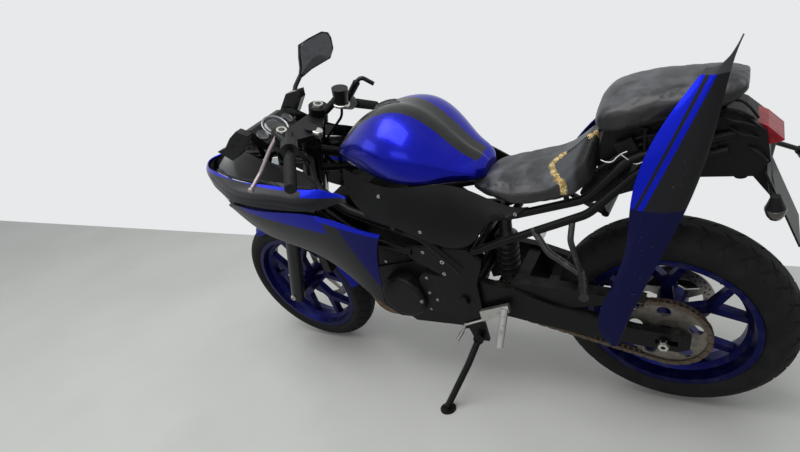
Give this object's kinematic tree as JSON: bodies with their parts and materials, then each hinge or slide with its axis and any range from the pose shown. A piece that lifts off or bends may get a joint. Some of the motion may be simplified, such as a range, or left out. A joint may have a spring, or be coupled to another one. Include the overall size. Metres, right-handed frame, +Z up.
{
  "type": "faired sport motorcycle",
  "caption": "Faired sport motorcycle leaning on its side stand, with cast wheels, chain drive, torn seat and one side cowl hanging loose.",
  "frame": {"origin": "centre of the bounding box at floor level, under the leaning motorcycle", "axes": "+X forward along the machine, +Y to its left, +Z up from the floor; the machine leans about 11.5 degrees to +Y on its stand"},
  "size_m": [1.9976, 0.7314, 1.221],
  "materials": {
    "tank_blue": "gloss",
    "wheel_blue": "gloss",
    "cowl_blue": "gloss",
    "cowl_black": "satin",
    "frame_black": "satin",
    "engine_black": "satin",
    "steel": "worn",
    "chain_steel": "oily and rusty",
    "bare_aluminium": "cast",
    "tyre_rubber": "dusty",
    "grip_rubber": "matt",
    "seat_cover": "torn, foam showing",
    "lamp_glass": "clear",
    "lamp_red": "gloss"
  },
  "bodies": {
    "frame_body": {"fuel_tank": "tank_blue", "rider_seat": "seat_cover", "pillion_seat": "seat_cover", "side_cover_left": "cowl_black", "side_cover_right": "cowl_black", "fairing_left": "cowl_blue", "fairing_right": "cowl_blue", "nose_cowl": "cowl_blue", "inner_cowl": "cowl_black", "headlamps": "lamp_glass", "instrument_panel": "cowl_black", "tail_cowl_right": "cowl_blue", "tail_cowl_left": "cowl_blue", "main_frame": "frame_black", "front_stay": "frame_black", "engine": "engine_black", "exhaust": "steel", "radiator": "frame_black", "swingarm": "frame_black", "drive_chain": "chain_steel", "chain_guard": "cowl_black", "shock_absorber": "steel", "rear_caliper": "bare_aluminium", "mirror_right": "cowl_black", "mirror_bracket": "cowl_black", "plate_holder": "cowl_black", "tail_lamp": "lamp_red", "undertray": "cowl_black", "steps_left": "bare_aluminium", "steps_right": "bare_aluminium"},
    "steering": {"fork": "frame_black", "fork_clamps": "frame_black", "handlebars": "frame_black", "grips": "grip_rubber", "levers": "frame_black", "front_fender": "cowl_blue", "front_caliper": "bare_aluminium", "cables": "grip_rubber"},
    "front_wheel": {"front_tyre": "tyre_rubber", "front_rim": "wheel_blue", "front_disc": "steel"},
    "rear_wheel": {"rear_tyre": "tyre_rubber", "rear_rim": "wheel_blue", "rear_sprocket": "steel", "rear_disc": "steel"},
    "stand": {"side_stand": "frame_black"}
  },
  "joints": [
    {"name": "steering_turn", "type": "hinge", "parent": "frame_body", "child": "steering", "pos_m": [0.40943, -0.00401, 0.82601], "axis": [-0.4222, 0.1807, 0.8883], "range_deg": [-26, 26]},
    {"name": "front_wheel_spin", "type": "hinge", "parent": "steering", "child": "front_wheel", "pos_m": [0.70584, -0.11307, 0.28985], "axis": [-0.0001, 0.9799, -0.1994], "continuous": true},
    {"name": "rear_wheel_spin", "type": "hinge", "parent": "frame_body", "child": "rear_wheel", "pos_m": [-0.67415, -0.10888, 0.31109], "axis": [-0.0001, 0.9799, -0.1994], "continuous": true},
    {"name": "side_stand_swing", "type": "hinge", "parent": "frame_body", "child": "stand", "pos_m": [-0.11421, 0.01011, 0.20599], "axis": [0.0002, 0.9483, 0.3173], "range_deg": [0, 105]}
  ]
}
